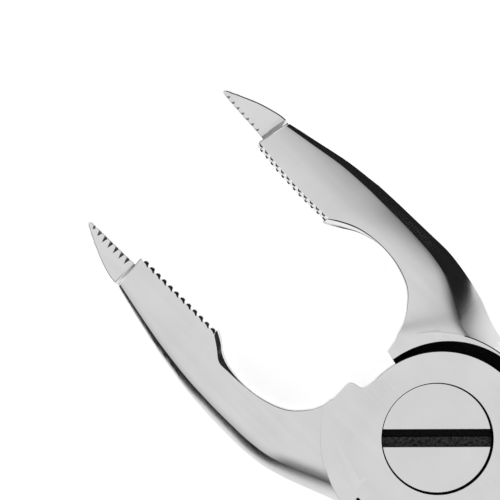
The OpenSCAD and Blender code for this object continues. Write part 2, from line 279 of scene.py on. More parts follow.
def smooth_rows(rows, t):
    """Row at a place t along the rows, on a smooth curve through all of them."""
    i = min(int(t), len(rows) - 2)
    f = t - i
    p0, p1 = rows[max(i - 1, 0)], rows[i]
    p2, p3 = rows[i + 1], rows[min(i + 2, len(rows) - 1)]
    return tuple(
        0.5 * (2 * b + (c - a) * f + (2 * a - 5 * b + 4 * c - d) * f ** 2
               + (3 * b - a - 3 * c + d) * f ** 3)
        for a, b, c, d in zip(p0, p1, p2, p3))


def straight_rows(rows, t):
    """Row at a place t along the rows, on straight lines between them."""
    i = min(int(t), len(rows) - 2)
    f = t - i
    return tuple(a + (b - a) * f for a, b in zip(rows[i], rows[i + 1]))


def heading(angle):
    return math.cos(math.radians(angle)), math.sin(math.radians(angle))


def arc_end(pose, arc):
    """Pose (x, y, heading) at the end of an arc (radius, turn)."""
    side = 90 if arc[1] > 0 else -90
    cx, cy = heading(pose[2] + side)
    ox, oy = heading(pose[2] + arc[1] - side)
    return (pose[0] + arc[0] * (cx + ox), pose[1] + arc[0] * (cy + oy), pose[2] + arc[1])


def arc_length(arc):
    return arc[0] * math.radians(abs(arc[1]))


def chain_pose(pose, arcs, distance):
    """Pose at a distance along a chain of arcs."""
    for arc in arcs:
        length = arc_length(arc)
        if distance <= length:
            return arc_end(pose, (arc[0], arc[1] * distance / length)) if distance > 0 else pose
        pose = arc_end(pose, arc)
        distance -= length
    return pose


def beside(pose, offset):
    """Point beside a pose, positive to the left of its heading."""
    x, y = heading(pose[2] + 90)
    return pose[0] + offset * x, pose[1] + offset * y


def arc_points(radius, start, end, steps, centre=(0, 0)):
    out = []
    for i in range(steps + 1):
        x, y = heading(start + (end - start) * i / steps)
        out.append((centre[0] + radius * x, centre[1] + radius * y))
    return out


# ---- Solids ----

def mesh_object(name, points, faces):
    """Object from points in millimetres."""
    mesh = bpy.data.meshes.new(name)
    mesh.from_pydata([tuple(c * MM for c in p) for p in points], [], faces)
    mesh.update()
    obj = bpy.data.objects.new(name, mesh)
    bpy.context.scene.collection.objects.link(obj)
    return obj


def loft(name, rings):
    """Closed solid through rings that all have the same number of points."""
    n = len(rings[0])
    last = (len(rings) - 1) * n
    faces = [[i * n + k, i * n + (k + 1) % n, (i + 1) * n + (k + 1) % n, (i + 1) * n + k]
             for i in range(len(rings) - 1) for k in range(n)]
    faces.append(list(range(n))[::-1])
    faces.append(list(range(last, last + n)))
    return outward(mesh_object(name, [p for ring in rings for p in ring], faces))


def outward(obj):
    """Turns the faces of a closed solid outwards."""
    mesh = obj.data
    mesh.calc_loop_triangles()
    volume = 0.0
    for tri in mesh.loop_triangles:
        a, b, c = (mesh.vertices[i].co for i in tri.vertices)
        volume += a.dot(b.cross(c))
    if volume < 0:
        mesh.flip_normals()
    return obj


def inset(outline, amount):
    """Outline moved inwards, for a counter-clockwise outline."""
    out = []
    n = len(outline)
    for i, (x, y) in enumerate(outline):
        ax, ay = outline[i - 1]
        bx, by = outline[(i + 1) % n]
        ux, uy = Vector((x - ax, y - ay)).normalized()
        wx, wy = Vector((bx - x, by - y)).normalized()
        nx, ny = -uy - wy, ux + wx
        scale = amount / max(0.4, (1 + ux * wx + uy * wy))
        out.append((x + nx * scale, y + ny * scale))
    return out


def slab(name, outline, z0, z1, across=0.0, down=0.0):
    """Flat plate with bevelled edges. The outline runs counter-clockwise."""
    inner = inset(outline, across)
    levels = [(inner, z0), (outline, z0 + down), (outline, z1 - down), (inner, z1)]
    return loft(name, [[(x, y, z) for x, y in line] for line, z in levels])


def lathe(name, profile, centre=(0, 0), steps=128):
    """Turned solid round a vertical axis. The profile (radius, z) runs from bottom to top."""
    rings = [[(x, y, z) for x, y in arc_points(r, 0, 360 * (steps - 1) / steps, steps - 1, centre)]
             for r, z in profile]
    return loft(name, rings)


def turned(name, r, z0, z1, low, high, centre=(0, 0), steps=128):
    """Disc with a bevel at each end. A negative bevel flares, for cutting solids."""
    profile = [(r - low, z0), (r, z0 + abs(low)), (r, z1 - abs(high)), (r - high, z1)]
    return lathe(name, profile, centre, steps)


def moved(obj, matrix):
    """Applies a matrix in millimetres to the mesh."""
    scaled = matrix.copy()
    scaled.translation = matrix.translation * MM
    obj.data.transform(scaled)
    return obj


def combine(obj, others, operation):
    """Unites the solids with obj, or cuts them out of it, and removes them."""
    group = bpy.data.collections.new("operands")
    bpy.context.scene.collection.children.link(group)
    for other in others:
        bpy.context.scene.collection.objects.unlink(other)
        group.objects.link(other)
    modifier = obj.modifiers.new("combine", "BOOLEAN")
    modifier.operation = operation
    modifier.solver = "EXACT"
    modifier.operand_type = "COLLECTION"
    modifier.collection = group
    bpy.context.view_layer.update()
    evaluated = obj.evaluated_get(bpy.context.evaluated_depsgraph_get())
    mesh = bpy.data.meshes.new_from_object(evaluated)
    obj.modifiers.clear()
    obj.data = mesh
    for other in others:
        bpy.data.objects.remove(other)
    bpy.data.collections.remove(group)
    return obj


def turn_over(obj):
    """Turns an upper-lever shape over into the lower lever's place."""
    obj.data.transform(Matrix.Diagonal((1, -1, -1, 1)))
    obj.data.transform(Matrix.Translation((0, 0, HEAD_T * MM)))
    return obj


def finish_shape(obj, sharp_angle=17):
    """Smooth shading with crisp machined edges."""
    mesh = obj.data
    for polygon in mesh.polygons:
        polygon.use_smooth = True
    mesh.set_sharp_from_angle(angle=math.radians(sharp_angle))
    weighted = obj.modifiers.new("even_shading", "WEIGHTED_NORMAL")
    weighted.keep_sharp = True
    weighted.weight = 80
    return obj


# ---- Jaws ----

def half_thickness(x):
    """Half the jaw's thickness, which tapers towards the step."""
    share = max(0.0, (x - TAPER_START_X) / (JAW_FRONT_X - TAPER_START_X))
    return MID_Z - share * (HEAD_T - JAW_FRONT_T) / 2


def side(strips, drop):
    """Side of a section from the top edge to mid-height, as (distance out, distance down).

    The strips are (width, slope) pairs.
    """
    falls = [width * math.tan(math.radians(slope)) for width, slope in strips]
    limit = min(1.0, SIDE_SHARE * drop / sum(falls))
    out = [(0.0, 0.0)]
    for (width, slope), fall in zip(strips, falls):
        out.append((out[-1][0] + width, out[-1][1] + fall * limit))
    reach, down = out[-1]
    return out + [(reach + SIDE_OUT, (down + drop) / 2), (reach + SIDE_OUT, drop)]


def back_strips(reach, hold, first, last):
    """Strips of the jaw's back: its first slope is held for a share of the reach, then steepens."""
    out = []
    for i in range(BACK_STEPS):
        share = max(0.0, (i + 0.5) / BACK_STEPS - hold) / max(0.1, 1 - hold)
        out.append((reach / BACK_STEPS, first + (last - first) * share))
    return out


def jaw_ring(row, tooth=None):
    """Closed section of the jaw at one row. A tooth stage replaces the mouth side."""
    ix, iy, w1, slope1, w2, slope2, w3, ox, oy, reach, hold, first, last = row[:13]
    crown, roll, roll_drop, dip = row[13:]
    across = Vector((ox - ix, oy - iy))
    d = across.normalized()
    width = across.length
    if tooth:
        set_back, w1, slope1, w2, slope2, w3 = tooth
        ix, iy, width = ix + d.x * set_back, iy + d.y * set_back, width - set_back
    top_in = half_thickness(ix) - dip - CREASE
    top_out = half_thickness(ox) - dip - CREASE
    mouth = [(w1 / 2, slope1), (w1 / 2, slope1), (w2 / 2, slope2), (w2 / 2, slope2),
             (w3, SHELF_SLOPE)]
    half = [(ix - d.x * out, iy - d.y * out, top_in - down)
            for out, down in reversed(side(mouth, top_in))]
    for k in range(1, TOP_STEPS + 1):
        s = 1 - (1 - k / TOP_STEPS) ** TOP_SPACING
        near = max(0.0, 1 - (1 - s) * width / roll)
        drop = crown * s ** CROWN_POWER + roll_drop * near ** ROLL_POWER
        z = top_in + (top_out - top_in) * s - drop
        half.append((ix + d.x * width * s, iy + d.y * width * s, z))
    edge_z = half[-1][2]
    half += [(ox + d.x * out, oy + d.y * out, edge_z - down)
             for out, down in side(back_strips(reach, hold, first, last), edge_z)[1:]]
    under = [(x, y, -z) for x, y, z in reversed(half[1:-1])]
    return [(x, y, MID_Z + z) for x, y, z in half + under]


def shrink(ring, amount, shift):
    """Ring drawn in by an amount and shifted along X, for a bevelled end."""
    n = len(ring)
    cy = sum(p[1] for p in ring) / n
    cz = sum(p[2] for p in ring) / n
    out = []
    for x, y, z in ring:
        dy, dz = y - cy, z - cz
        keep_y = max(0.0, 1 - amount / max(abs(dy), amount)) if abs(dy) > 1.5 else 1 - amount / 3
        keep_z = max(0.0, 1 - amount / max(abs(dz), amount))
        out.append((x + shift, cy + dy * keep_y, cz + dz * keep_z))
    return out


def jaw(name, rows, teeth):
    """Jaw body with its main teeth, from the step back into the joint."""
    rings = [shrink(jaw_ring(rows[0]), EDGE, EDGE), jaw_ring(rows[0])]
    for i in range(MAIN_TEETH):
        for stage in teeth:
            t = TEETH_START + (TOOTH_ROWS - TEETH_START) * (i + stage[0]) / MAIN_TEETH
            row = straight_rows(rows, t)[:MOUTH_COLUMNS] + smooth_rows(rows, t)[MOUTH_COLUMNS:]
            rings.append(jaw_ring(row, stage[1:]))
    rings.append(jaw_ring(rows[TOOTH_ROWS]))
    rear = rows[TOOTH_ROWS + 1:]
    for i in range((len(rear) - 1) * ROW_STEPS + 1):
        rings.append(jaw_ring(smooth_rows(rear, i / ROW_STEPS)))
    return loft(name, rings)


def point_ring(row, rim, notch=0.0):
    """Closed section of the point. A notch bites into the mouth side of its top and underside."""
    x, inner, outer, fillet, slant = row
    share = (x - POINT_START_X) / (POINT_END_X - POINT_START_X)
    top = (POINT_ROOT_T + (POINT_END_T - POINT_ROOT_T) * share) / 2 + fillet
    notch = min(notch, 0.5 * (outer - inner))
    edge = min(0.05, (outer - inner) / 6)
    reach = max(notch, edge)
    rim = min(rim, (outer - inner) / 4)
    mouth = [(reach / 3, 40), (reach / 3, 42), (reach / 3, 44)]
    half = [(inner + reach - out, top - down) for out, down in reversed(side(mouth, top))]
    low = top - FILLET_FADE * fillet
    flat_start, flat_end = inner + reach, outer - rim
    for k in range(1, POINT_TOP_STEPS):
        share = k / POINT_TOP_STEPS
        half.append((flat_start + (flat_end - flat_start) * share, top + (low - top) * share))
    back = [(rim / 2, 35), (rim / 2, 36)]
    half += [(flat_end + out, low - down) for out, down in side(back, low)]
    under = [(y, -z) for y, z in reversed(half[1:-1])]
    return [(x - slant * (y - inner), y, MID_Z + z) for y, z in half + under]


def point(name, rows, end_rows, notch, rim):
    """Slim point with its fine teeth and rounded end."""
    rings = [point_ring(row, rim) for row in rows[:TOOTH_START_ROW + 1]]
    toothed = rows[TOOTH_START_ROW:]
    start, end = toothed[0][0], toothed[-1][0]
    pitch = (end - start) / FINE_NOTCHES
    for i in range(FINE_NOTCHES):
        for place, depth in FINE_TOOTH:
            x = start + pitch * (i + place)
            t = next(k for k in range(len(toothed) - 1) if x <= toothed[k + 1][0] + 1e-6)
            f = (x - toothed[t][0]) / (toothed[t + 1][0] - toothed[t][0])
            row = smooth_rows(toothed, t + f)
            rings.append(point_ring((x, *row[1:]), rim, notch * depth))
    rings += [point_ring((*row, 0.0, 0.0), rim) for row in end_rows]
    return loft(name, rings)


# ---- Handles ----

def opened(obj):
    """Turns a shape from the closed lever's place to the open lever's."""
    return moved(obj, Matrix.Rotation(math.radians(OPEN_HALF), 4, "Z"))


def handle_ring(pose, scale, groove):
    """Rounded section of the handle. A groove is cut into its outer side."""
    ring = []
    for k in range(SECTION_STEPS):
        c, s = heading(360 * k / SECTION_STEPS)
        side = math.copysign(abs(c) ** (2 / SECTION_POWER), c) / 2
        up = math.copysign(abs(s) ** (2 / SECTION_POWER), s) / 2
        depth = groove * max(0.0, min(1.0, (side - 0.3) / 0.15))
        x, y = beside(pose, side * HANDLE_W * scale - depth)
        ring.append((x, y, MID_Z + up * (HEAD_T - CREASE) * (1 + scale) / 2))
    return ring


def handle(name):
    """Handle bar with its grip grooves and rounded end, in the closed lever's place."""
    lengths = [arc_length(arc) for arc in HANDLE_ARCS]
    total = sum(lengths)
    grip_start = lengths[0] + GRIP_START * lengths[1]
    grip_end = lengths[0] + lengths[1]
    stops = [(grip_start * i / ROOT_STEPS, 0.0) for i in range(ROOT_STEPS)]
    count = int((grip_end - grip_start) / GRIP_PITCH)
    for i in range(count):
        centre = grip_start + (i + 0.5) * GRIP_PITCH
        stops += [(centre - GRIP_HALF_W, 0.0), (centre, GRIP_DEPTH), (centre + GRIP_HALF_W, 0.0)]
    rest = total - grip_end
    stops += [(grip_end + rest * i / END_STEPS, 0.0) for i in range(END_STEPS + 1)]
    rings = [handle_ring(chain_pose(HANDLE_START, HANDLE_ARCS, s), 1, g) for s, g in stops]
    x, y, angle = chain_pose(HANDLE_START, HANDLE_ARCS, total)
    ux, uy = heading(angle)
    for turn in CAP_TURNS:
        c, s = heading(turn)
        ahead = HANDLE_W / 2 * s
        rings.append(handle_ring((x + ahead * ux, y + ahead * uy, angle), c, 0.0))
    return opened(loft(name, rings))


# ---- Levers ----

def sector(name, start, end):
    """Full-thickness sector of the ground land at the handle's root."""
    outline = arc_points(ROOT_LAND_R, start, end, 24) + arc_points(LAND_IN_R, end, start, 8)
    return slab(name, outline, 0, HEAD_T, *LAND_RIM)


def root_plate(name, edge, land_r, seam_end, rim_start):
    """Full-thickness jaw root under the land, from the lap corner to the seam."""
    start = math.degrees(math.atan2(edge[-1][1], edge[-1][0])) + 4.0
    seam_x, seam_y = heading(seam_end)
    outline = edge + arc_points(land_r, start, rim_start, 30)
    outline += arc_points(land_r - LAND_EDGE[0], rim_start + 1, seam_end, 12)
    outline += [(LAND_IN_R * seam_x, LAND_IN_R * seam_y), (4.0, 2.0)]
    return slab(name, outline, 0, HEAD_T, *PLATE_RIM)


def land_edge(name, land_r, start, end):
    """Bevelled edge of the land above the rounded back of the root."""
    outline = arc_points(land_r, start, end, 20) + arc_points(LAND_IN_R, end, start, 8)
    return slab(name, outline, 0, HEAD_T, *LAND_EDGE)


def seam_lip():
    """Wider edge of the upper lap beside the seam."""
    outline = arc_points(SEAM_LIP_R, SEAM - 4, SEAM_LIP_END, 12)
    outline += arc_points(LAND_IN_R, SEAM_LIP_END + 8, SEAM - 4, 6)
    return slab("seam_lip", outline, LAP_HIGH_Z, HEAD_T, EDGE, EDGE)


def shoulder_cutters():
    """Solids that clear the other lever's lap out of the lower half."""
    reliefs = [turned("jaw_relief", JAW_SHOULDER_R, -OVER, LAP_HIGH_Z, 0, 0, SHOULDER_CENTRE)]
    half = arc_points(HANDLE_SHOULDER_R, 180, 360, 64)
    reliefs.append(slab("handle_relief", half, -OVER, LAP_HIGH_Z))
    return reliefs


def spring_screw_matrix():
    """Place of the spring screw on the handle's inner face, with +Z away from the handle."""
    x, y, angle = pad_pose(HANDLE_W / 2, PAD_TURN)
    return (Matrix.Translation((x, y, MID_Z)) @ Matrix.Rotation(math.radians(angle + 90), 4, "Z")
            @ Matrix.Rotation(math.radians(90), 4, "Y"))


def spring_screw_hole():
    hole = turned("screw_hole", SPRING_SCREW_D / 2 + FIT, -SPRING_SCREW_GRIP - FIT, OVER,
                  0, 0, steps=32)
    return opened(moved(hole, spring_screw_matrix()))


def upper_lever():
    """Lever with its jaw on +Y and its half of the lap on top."""
    obj = turned("lever_upper", LAP_R, LAP_HIGH_Z, HEAD_T, FINE_EDGE, EDGE, LAP_CENTRE, 192)
    parts = [
        root_plate("root", A_CORNER + A_MOUTH, A_LAND_R, SEAM - SEAM_GAP, LAND_EDGE_START),
        sector("handle_root", A_HANDLE_ROOT, SEAM - SEAM_GAP + 180),
        seam_lip(),
        jaw("jaw", JAW_A, TEETH_A),
        point("point", POINT_A, POINT_A_END, POINT_NOTCH_A, POINT_A_RIM),
        handle("handle"),
    ]
    combine(obj, parts, "UNION")
    combine(obj, shoulder_cutters(), "DIFFERENCE")
    cutters = [
        turned("bore", SHANK_D / 2 + RUN, -OVER, HEAD_T + OVER, 0, 0),
        turned("counterbore", SCREW_HEAD_D / 2 + RING_GAP, HEAD_T - SCREW_HEAD_T - FACE_GAP,
               HEAD_T + OVER, 0, 0, (RING_SHIFT, 0)),
        spring_screw_hole(),
    ]
    combine(obj, cutters, "DIFFERENCE")
    return finish_shape(obj)


def lower_lever():
    """Lever with its jaw on -Y and its half of the lap underneath."""
    obj = turned("lever_lower", LAP_R, LAP_HIGH_Z, HEAD_T, EDGE, FINE_EDGE, LAP_CENTRE, 192)
    parts = [
        root_plate("root", B_CORNER + B_MOUTH, B_LAND_R, 180 - SEAM - SEAM_GAP, LAND_EDGE_START),
        land_edge("land_edge", B_LAND_R, LAND_EDGE_START - 1, 180 - SEAM - SEAM_GAP),
        sector("handle_root", B_HANDLE_ROOT, 360 - SEAM - SEAM_GAP),
        jaw("jaw", JAW_B, TEETH_B),
        point("point", POINT_B, POINT_B_END, POINT_NOTCH_B, POINT_B_RIM),
        handle("handle"),
    ]
    combine(obj, parts, "UNION")
    combine(obj, shoulder_cutters(), "DIFFERENCE")
    combine(obj, [spring_screw_hole()], "DIFFERENCE")
    turn_over(obj)
    combine(obj, [turned("bore", THREAD_D / 2 + FIT, -OVER, HEAD_T + OVER, 0, 0)], "DIFFERENCE")
    return finish_shape(obj)


# ---- Screws and springs ----

def slotted_screw(name, head_d, head_t, head_edge, shanks, slot_w, slot_depth, bevel, groove=0.0):
    """Screw with its head's top at z = 0: shanks are (diameter, depth below the head)."""
    profile = [(head_d / 2 - bevel, 0), (head_d / 2, -head_edge), (head_d / 2, -head_t + FINE_EDGE),
               (head_d / 2 - FINE_EDGE, -head_t)]
    z = -head_t
    for diameter, depth in shanks:
        profile += [(diameter / 2, z), (diameter / 2, z - depth + FINE_EDGE)]
        z -= depth
    profile.append((shanks[-1][0] / 2 - 2 * FINE_EDGE, z))
    obj = lathe(name, profile[::-1], steps=SCREW_STEPS)
    reach = head_d
    flare = FINE_EDGE
    section = [(-slot_w / 2 - flare - OVER, OVER), (-slot_w / 2 - flare, 0), (-slot_w / 2, -flare),
               (-slot_w / 2, -slot_depth - groove), (-0.09 * slot_w, -slot_depth - groove),
               (-0.06 * slot_w, -slot_depth), (slot_w * 0.46, -slot_depth),
               (slot_w / 2, -slot_depth * 0.92),
               (slot_w / 2, -flare), (slot_w / 2 + flare, 0), (slot_w / 2 + flare + OVER, OVER)]
    slot = loft("slot", [[(x, y, z) for y, z in section] for x in (-reach, reach)])
    return combine(obj, [slot], "DIFFERENCE")


def pivot_screw():
    """Large slotted screw that joins the levers."""
    shank = HEAD_T - SCREW_HEAD_T - LAP_LOW_Z
    obj = slotted_screw("pivot_screw_steel", SCREW_HEAD_D, SCREW_HEAD_T, 0.05,
                        [(SHANK_D, shank), (THREAD_D, LAP_LOW_Z)], SLOT_W, SLOT_DEPTH, 0.05,
                        SLOT_GROOVE)
    slot_turn = Matrix.Rotation(math.radians(SLOT_TURN), 4, "Z")
    moved(obj, Matrix.Translation((0, 0, HEAD_T)) @ slot_turn)
    return finish_shape(obj)


def spring_screw(name):
    """Small cheese-head screw on the handle's inner face, in the closed lever's place."""
    seat = LEAF_T + 2 * PAD_GAP
    obj = slotted_screw(name, SPRING_HEAD_D, SPRING_HEAD_T, 0.25,
                        [(SPRING_SCREW_D, SPRING_SCREW_GRIP + seat)],
                        SPRING_SLOT_W, SPRING_SLOT_DEPTH, 0.25)
    moved(obj, Matrix.Translation((0, 0, seat + SPRING_HEAD_T)))
    return opened(moved(obj, spring_screw_matrix()))


def pad_pose(offset, turn):
    """Pose beside the handle's inner face, heading back towards the joint."""
    x, y, angle = arc_end(arc_end(HANDLE_START, HANDLE_ARCS[0]), (BOW_R, -turn))
    ux, uy = heading(angle - 90)
    return x + offset * ux, y + offset * uy, angle + 180


def fork_gap():
    """Outline cut out of the forked leaf, round at its inner end."""
    g = FORK_GAP_W / 2
    reach = 2 * LEAF_W
    round_end = [(g * heading(a)[0], g * heading(a)[1]) for a in range(90, 271, 15)]
    return [("gap", [(reach, -g), (reach, g)] + round_end)]


def tongue_sides():
    """Outlines cut off both sides of the tongue, with rounded inner corners."""
    g, w, r = TONGUE_W / 2, LEAF_W, TONGUE_CORNER_R
    reach = 2 * LEAF_W
    left = [(r + r * heading(a)[0], g + r + r * heading(a)[1]) for a in range(180, 271, 15)]
    right = [(r + r * heading(a)[0], -g - r + r * heading(a)[1]) for a in range(90, 181, 15)]
    return [("left", left + [(reach, g), (reach, w), (0, w)]),
            ("right", right + [(0, -w), (reach, -w), (reach, -g)])]


def leaf_spring(name, forked):
    """Bent leaf with rounded edges, ending in a tongue or in a fork."""
    offset = HANDLE_W / 2 + LEAF_T / 2 + PAD_GAP
    start = pad_pose(offset, PAD_TURN + PAD_HALF_TURN)
    arcs = [(BOW_R - offset, 2 * PAD_HALF_TURN)] + LEAF_CURVE + [LEAF_END]
    total = sum(arc_length(arc) for arc in arcs)
    body = total - arc_length(LEAF_END)
    half_t, half_w = LEAF_T / 2, LEAF_W / 2
    section = [(half_t, half_w - LEAF_EDGE), (half_t * 0.75, half_w - LEAF_EDGE * 0.3),
               (half_t * 0.3, half_w), (-half_t * 0.3, half_w),
               (-half_t * 0.75, half_w - LEAF_EDGE * 0.3), (-half_t, half_w - LEAF_EDGE)]
    section += [(a, -b) for a, b in reversed(section)]
    stops = [0.0, 0.12, LEAF_NOSE]
    stops += [total * i / LEAF_STEPS for i in range(1, LEAF_STEPS)]
    stops += [total - LEAF_NOSE, total - 0.12, total]
    rings = []
    for s in stops:
        pose = chain_pose(start, arcs, s)
        end_gap = min(s, total - s)
        squeeze = 1 - max(0.0, LEAF_NOSE - end_gap) * 0.9
        rings.append([(*beside(pose, a * squeeze), MID_Z + b * (1 - (1 - squeeze) * 0.25))
                      for a, b in section])
    obj = loft(name, rings)
    x, y, angle = chain_pose(start, arcs, body)
    place = Matrix.Translation((x, y, MID_Z)) @ Matrix.Rotation(math.radians(angle), 4, "Z")
    solids = []
    for label, outline in (fork_gap() if forked else tongue_sides()):
        # The outline lies in the leaf's plane: along the leaf and across its width
        solid = slab(label, outline, -LEAF_W, LEAF_W)
        moved(solid, Matrix.Rotation(math.radians(90), 4, "X"))
        solids.append(moved(solid, place))
    hole = turned("hole", SPRING_SCREW_D / 2 + FIT, -OVER, LEAF_T + OVER, 0, 0, steps=32)
    solids.append(moved(hole, spring_screw_matrix()))
    combine(obj, solids, "DIFFERENCE")
    return opened(obj)


# ---- Materials ----

def new_material(name):
    material = bpy.data.materials.new(name)
    material.use_nodes = True
    tree = material.node_tree
    tree.nodes.clear()
    shader = tree.nodes.new("ShaderNodeBsdfPrincipled")
    output = tree.nodes.new("ShaderNodeOutputMaterial")
    tree.links.new(shader.outputs["BSDF"], output.inputs["Surface"])
    return material, tree, shader


def noise(tree, scale, stretch, detail, turn=0.0):
    """Noise in the object's own space, finer across than along."""
    place = tree.nodes.new("ShaderNodeTexCoord")
    mapping = tree.nodes.new("ShaderNodeMapping")
    mapping.inputs["Rotation"].default_value = (0, 0, math.radians(turn))
    mapping.inputs["Scale"].default_value = stretch
    texture = tree.nodes.new("ShaderNodeTexNoise")
    texture.inputs["Scale"].default_value = scale
    texture.inputs["Detail"].default_value = detail
    tree.links.new(place.outputs["Object"], mapping.inputs["Vector"])
    tree.links.new(mapping.outputs["Vector"], texture.inputs["Vector"])
    return texture.outputs["Fac"]


def ramp(tree, value, stops):
    """Colour ramp with (position, grey or colour) stops."""
    node = tree.nodes.new("ShaderNodeValToRGB")
    elements = node.color_ramp.elements
    while len(elements) < len(stops):
        elements.new(0.5)
    for element, (position, colour) in zip(elements, stops):
        element.position = position
        if not isinstance(colour, tuple):
            colour = (colour, colour, colour)
        element.color = (*colour, 1)
    tree.links.new(value, node.inputs["Fac"])
    return node.outputs["Color"]


def steel(name, colour, rough, grain, turn=0.0, near_head=None, satin=(0, 1)):
    """Polished steel: faint cloudy tone, fine directional grain, smoother worn edges.

    near_head is the roughness that the polish fades to at the head, between the satin places.
    """
    material, tree, shader = new_material(name)
    shader.inputs["Metallic"].default_value = 1.0
    darker = tuple(c * 0.955 for c in colour)
    cloud = noise(tree, 160, (1, 1, 1), 4)
    tree.links.new(ramp(tree, cloud, [(0.35, darker), (0.65, colour)]), shader.inputs["Base Color"])
    streaks = noise(tree, 900, (0.05, 1, 1), 6, turn)
    worn = tree.nodes.new("ShaderNodeNewGeometry")
    edge = ramp(tree, worn.outputs["Pointiness"], [(0.5, 0.0), (0.58, 1.0)])
    base = ramp(tree, streaks, [(0.3, rough * 0.8), (0.7, rough * 1.2)])
    mix = tree.nodes.new("ShaderNodeMix")
    mix.data_type = "RGBA"
    mix.inputs["B"].default_value = (rough * 0.6, rough * 0.6, rough * 0.6, 1)
    tree.links.new(edge, mix.inputs["Factor"])
    tree.links.new(base, mix.inputs["A"])
    polish = mix.outputs["Result"]
    if near_head:
        place = tree.nodes.new("ShaderNodeTexCoord")
        split = tree.nodes.new("ShaderNodeSeparateXYZ")
        fade = tree.nodes.new("ShaderNodeMapRange")
        fade.inputs["From Min"].default_value = satin[0] * MM
        fade.inputs["From Max"].default_value = satin[1] * MM
        blend = tree.nodes.new("ShaderNodeMix")
        blend.data_type = "RGBA"
        blend.inputs["A"].default_value = (near_head, near_head, near_head, 1)
        tree.links.new(place.outputs["Object"], split.inputs["Vector"])
        tree.links.new(split.outputs["X"], fade.inputs["Value"])
        tree.links.new(fade.outputs["Result"], blend.inputs["Factor"])
        tree.links.new(polish, blend.inputs["B"])
        polish = blend.outputs["Result"]
    tree.links.new(polish, shader.inputs["Roughness"])
    bump = tree.nodes.new("ShaderNodeBump")
    bump.inputs["Strength"].default_value = grain
    bump.inputs["Distance"].default_value = 0.00002
    tree.links.new(streaks, bump.inputs["Height"])
    tree.links.new(bump.outputs["Normal"], shader.inputs["Normal"])
    return material


def patina_and_painted_shade(name, low, high, rough):
    """Matte, mottled dark material: dark patina on the screw slot's floor, and painted shade in the
    gaps between the levers, in the bores, on the slot's walls and on the fine teeth's tip-side walls.
    """
    material, tree, shader = new_material(name)
    shader.inputs["Metallic"].default_value = 0.3
    shader.inputs["Specular IOR Level"].default_value = 0.2
    mottle = noise(tree, 2600, (1, 1, 1), 5)
    tree.links.new(ramp(tree, mottle, [(0.35, low), (0.7, high)]), shader.inputs["Base Color"])
    tree.links.new(ramp(tree, mottle, [(0.3, rough), (0.7, rough * 0.8)]), shader.inputs["Roughness"])
    bump = tree.nodes.new("ShaderNodeBump")
    bump.inputs["Strength"].default_value = 0.5
    bump.inputs["Distance"].default_value = 0.0001
    tree.links.new(mottle, bump.inputs["Height"])
    tree.links.new(bump.outputs["Normal"], shader.inputs["Normal"])
    return material


def paint(obj, materials, chooser):
    """Assigns one of the materials to each face by its centre and normal, in millimetres."""
    obj.data.materials.clear()
    for material in materials:
        obj.data.materials.append(material)
    for polygon in obj.data.polygons:
        polygon.material_index = chooser(polygon.center / MM, polygon.normal)


# ---- The object ----

